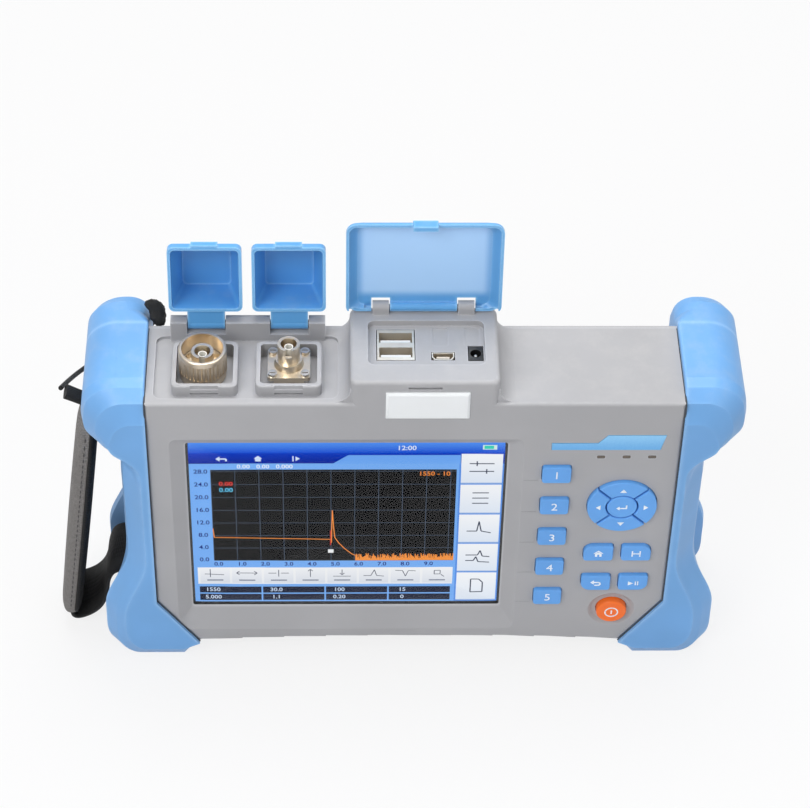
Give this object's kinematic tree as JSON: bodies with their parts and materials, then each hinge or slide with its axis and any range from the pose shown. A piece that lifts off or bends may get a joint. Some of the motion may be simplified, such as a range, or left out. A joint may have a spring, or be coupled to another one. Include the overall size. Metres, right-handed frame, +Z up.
{
  "type": "handheld optical time domain reflectometer",
  "caption": "Handheld optical fibre tester with a colour display, keypad, rubber corner bumpers, hinged port covers, data sockets, tilt stand and a padded hand strap.",
  "frame": {"origin": "on the bench below the middle of the case, at the plane where the front shell meets the rear shell", "axes": "+X to the right of the person who reads the display, +Y away from them through the case, +Z up from the bumpers to the ports"},
  "size_m": [0.2545, 0.0653, 0.1899],
  "materials": {
    "bumper_rubber": "matte",
    "case_plastic": "fine satin texture",
    "display_glass": "gloss",
    "display_module": "gloss",
    "sheet_metal": "satin",
    "circuit_board": "satin",
    "mat_rubber": "matte",
    "lamp_plastic": "gloss",
    "stripe_film": "satin",
    "plate_plastic": "satin",
    "cover_plastic": "satin",
    "steel": "satin",
    "adapter_metal": "plated",
    "ring_metal": "knurled",
    "ceramic": "gloss",
    "socket_plastic": "satin",
    "bobbin_plastic": "satin",
    "battery_wrap": "satin",
    "key_rubber": "satin",
    "power_rubber": "satin",
    "strap_fabric": "woven",
    "strap_webbing": "woven"
  },
  "bodies": {
    "case": {"right_front_bumper": "bumper_rubber", "left_front_bumper": "bumper_rubber", "right_rear_bumper": "bumper_rubber", "left_rear_bumper": "bumper_rubber", "front_housing": "case_plastic", "rear_housing": "case_plastic", "display_lens": "display_glass", "lcd_panel": "display_module", "lcd_bracket": "sheet_metal", "main_board": "circuit_board", "keypad_board": "circuit_board", "keypad_mat": "mat_rubber", "lamp_pipes": "lamp_plastic", "stripe_overlay": "stripe_film", "name_plate": "plate_plastic", "port_cover_pins": "steel", "data_cover_pin": "steel", "otdr_port_base": "adapter_metal", "flange_adapter": "adapter_metal", "ferrule_sleeves": "ceramic", "flange_screws": "steel", "port_board": "circuit_board", "usb_socket": "steel", "usb_tongues": "socket_plastic", "mini_usb_socket": "steel", "dc_jack": "socket_plastic", "dc_jack_pin": "steel", "optical_module": "sheet_metal", "fibre_spool": "bobbin_plastic", "battery_pack": "battery_wrap", "battery_door": "case_plastic", "door_screws": "steel", "case_screws": "steel", "stand_pin": "steel", "strap_pad": "strap_fabric", "strap_webbing": "strap_webbing", "strap_cord": "strap_webbing", "strap_loop": "strap_webbing", "strap_keeper": "strap_webbing"},
    "otdr_cover_body": {"otdr_port_cover": "cover_plastic"},
    "source_cover_body": {"source_port_cover": "cover_plastic"},
    "data_cover_body": {"data_cover": "cover_plastic"},
    "ring_body": {"otdr_ring": "ring_metal"},
    "stand_body": {"tilt_stand": "case_plastic"},
    "key_up_body": {"key_up": "key_rubber"},
    "key_right_body": {"key_right": "key_rubber"},
    "key_down_body": {"key_down": "key_rubber"},
    "key_left_body": {"key_left": "key_rubber"},
    "key_f1_body": {"key_f1": "key_rubber"},
    "key_f2_body": {"key_f2": "key_rubber"},
    "key_f3_body": {"key_f3": "key_rubber"},
    "key_f4_body": {"key_f4": "key_rubber"},
    "key_f5_body": {"key_f5": "key_rubber"},
    "key_home_body": {"key_home": "key_rubber"},
    "key_marker_body": {"key_marker": "key_rubber"},
    "key_escape_body": {"key_escape": "key_rubber"},
    "key_run_body": {"key_run": "key_rubber"},
    "key_enter_body": {"key_enter": "key_rubber"},
    "key_power_body": {"key_power": "power_rubber"}
  },
  "joints": [
    {"name": "otdr_cover_hinge", "type": "hinge", "parent": "case", "child": "otdr_cover_body", "pos_m": [-0.0754, -0.002, 0.1415], "axis": [1, 0, 0], "range_deg": [0, 99]},
    {"name": "source_cover_hinge", "type": "hinge", "parent": "case", "child": "source_cover_body", "pos_m": [-0.0453, -0.002, 0.1415], "axis": [1, 0, 0], "range_deg": [0, 99]},
    {"name": "data_cover_hinge", "type": "hinge", "parent": "case", "child": "data_cover_body", "pos_m": [0.0033, -0.0023, 0.1497], "axis": [1, 0, 0], "range_deg": [0, 94]},
    {"name": "ring_turn", "type": "hinge", "parent": "case", "child": "ring_body", "pos_m": [-0.0762, -0.0216, 0.1443], "axis": [0, 0, 1], "range_deg": [0, 120]},
    {"name": "stand_hinge", "type": "hinge", "parent": "case", "child": "stand_body", "pos_m": [0, 0.0165, 0.114], "axis": [1, 0, 0], "range_deg": [0, 40]},
    {"name": "key_up_press", "type": "slide", "parent": "case", "child": "key_up_body", "axis": [0, 1, 0], "range_m": [0, 0.0012], "stiffness_N_per_m": 800},
    {"name": "key_right_press", "type": "slide", "parent": "case", "child": "key_right_body", "axis": [0, 1, 0], "range_m": [0, 0.0012], "stiffness_N_per_m": 800},
    {"name": "key_down_press", "type": "slide", "parent": "case", "child": "key_down_body", "axis": [0, 1, 0], "range_m": [0, 0.0012], "stiffness_N_per_m": 800},
    {"name": "key_left_press", "type": "slide", "parent": "case", "child": "key_left_body", "axis": [0, 1, 0], "range_m": [0, 0.0012], "stiffness_N_per_m": 800},
    {"name": "key_f1_press", "type": "slide", "parent": "case", "child": "key_f1_body", "axis": [0, 1, 0], "range_m": [0, 0.0012], "stiffness_N_per_m": 800},
    {"name": "key_f2_press", "type": "slide", "parent": "case", "child": "key_f2_body", "axis": [0, 1, 0], "range_m": [0, 0.0012], "stiffness_N_per_m": 800},
    {"name": "key_f3_press", "type": "slide", "parent": "case", "child": "key_f3_body", "axis": [0, 1, 0], "range_m": [0, 0.0012], "stiffness_N_per_m": 800},
    {"name": "key_f4_press", "type": "slide", "parent": "case", "child": "key_f4_body", "axis": [0, 1, 0], "range_m": [0, 0.0012], "stiffness_N_per_m": 800},
    {"name": "key_f5_press", "type": "slide", "parent": "case", "child": "key_f5_body", "axis": [0, 1, 0], "range_m": [0, 0.0012], "stiffness_N_per_m": 800},
    {"name": "key_home_press", "type": "slide", "parent": "case", "child": "key_home_body", "axis": [0, 1, 0], "range_m": [0, 0.0012], "stiffness_N_per_m": 800},
    {"name": "key_marker_press", "type": "slide", "parent": "case", "child": "key_marker_body", "axis": [0, 1, 0], "range_m": [0, 0.0012], "stiffness_N_per_m": 800},
    {"name": "key_escape_press", "type": "slide", "parent": "case", "child": "key_escape_body", "axis": [0, 1, 0], "range_m": [0, 0.0012], "stiffness_N_per_m": 800},
    {"name": "key_run_press", "type": "slide", "parent": "case", "child": "key_run_body", "axis": [0, 1, 0], "range_m": [0, 0.0012], "stiffness_N_per_m": 800},
    {"name": "key_enter_press", "type": "slide", "parent": "case", "child": "key_enter_body", "axis": [0, 1, 0], "range_m": [0, 0.0012], "stiffness_N_per_m": 800},
    {"name": "key_power_press", "type": "slide", "parent": "case", "child": "key_power_body", "axis": [0, 1, 0], "range_m": [0, 0.0012], "stiffness_N_per_m": 800}
  ]
}
